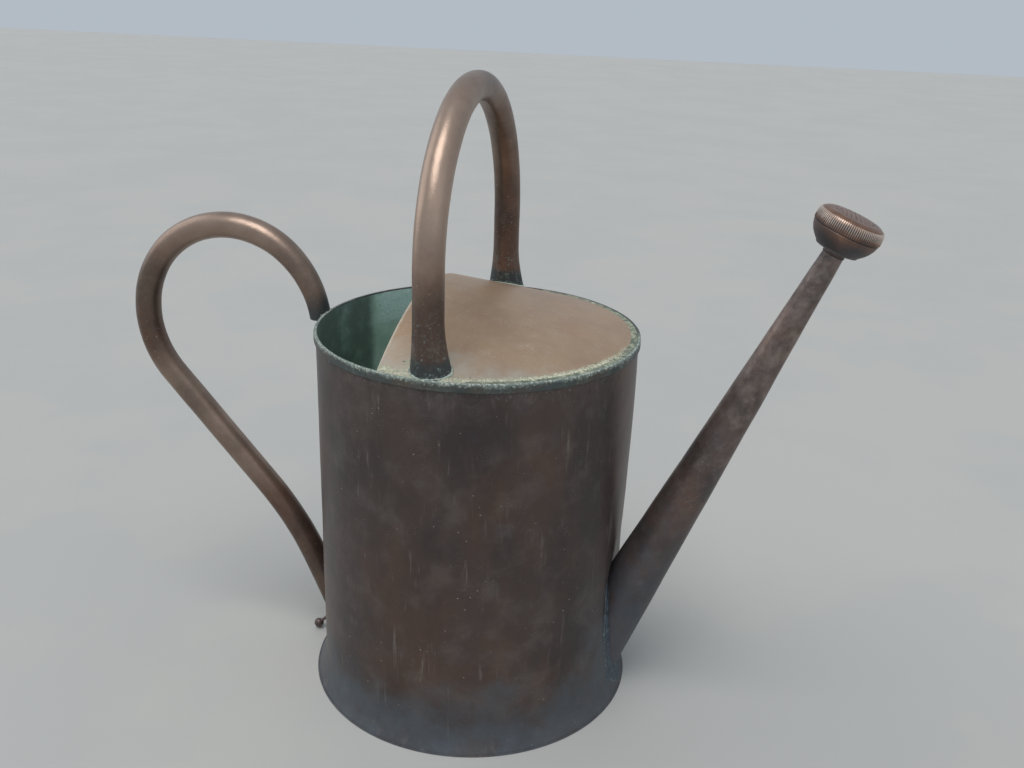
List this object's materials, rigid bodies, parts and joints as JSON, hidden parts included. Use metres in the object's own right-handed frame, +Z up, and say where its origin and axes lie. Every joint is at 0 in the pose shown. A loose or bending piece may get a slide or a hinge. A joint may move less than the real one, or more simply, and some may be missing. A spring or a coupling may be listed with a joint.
{
  "type": "watering can",
  "caption": "Round copper watering can with an arched half cover, a hoop over the top, a bent tube handle behind, and a long tapered spout whose rose turns, pulls off and has a screwed cap.",
  "frame": {"origin": "centre of the tank's bottom, on the floor that it stands on", "axes": "+Z up along the tank, +X towards the spout"},
  "size_m": [0.5637, 0.257, 0.4754],
  "materials": {
    "tank_copper": "dark brown patina on rolled copper sheet, with drip streaks and fine scratches",
    "rim_copper": "blue-grey patina, rubbed pale along the top",
    "cover_copper": "warm brown copper, worn and streaked",
    "tube_copper": "brown copper tube, rubbed bright where it is held",
    "spout_copper": "brown copper with grey-blue tarnish",
    "rose_copper": "brown turned metal, satin",
    "solder": "dull tinned solder with green-white crust",
    "washer_leather": "dark oiled leather"
  },
  "bodies": {
    "can": {"body_wall": "tank_copper", "base_pan": "tank_copper", "base_solder": "solder", "rim_band": "rim_copper", "top_cover": "cover_copper", "cover_solder": "solder", "hoop_handle": "tube_copper", "hoop_solder_front": "solder", "hoop_solder_back": "solder", "rear_handle": "tube_copper", "handle_solder_top": "solder", "handle_solder_foot": "solder", "handle_tail": "rose_copper", "spout": "spout_copper", "spout_solder": "solder"},
    "seal": {"rose_seal": "washer_leather"},
    "rose": {"rose_neck": "rose_copper", "rose_bowl": "rose_copper"},
    "cap_washer": {"rose_cap_washer": "washer_leather"},
    "cap": {"rose_cap": "rose_copper"}
  },
  "joints": [
    {"name": "rose_pull", "type": "slide", "parent": "can", "child": "seal", "axis": [0.3919, 0, 0.92], "range_m": [0, 0.03]},
    {"name": "rose_turn", "type": "hinge", "parent": "seal", "child": "rose", "pos_m": [0.24626, 0, 0.36863], "axis": [0.3919, 0, 0.92], "continuous": true},
    {"name": "cap_lift", "type": "slide", "parent": "rose", "child": "cap_washer", "axis": [0.3595, 0, 0.9331], "range_m": [0, 0.008]},
    {"name": "cap_turn", "type": "hinge", "parent": "cap_washer", "child": "cap", "pos_m": [0.24755, 0, 0.37167], "axis": [0.3595, 0, 0.9331], "range_deg": [0, 1445]}
  ],
  "couplings": [
    {"joint": "cap_turn", "follows": "cap_lift", "rad_per_m": 3141.6}
  ]
}
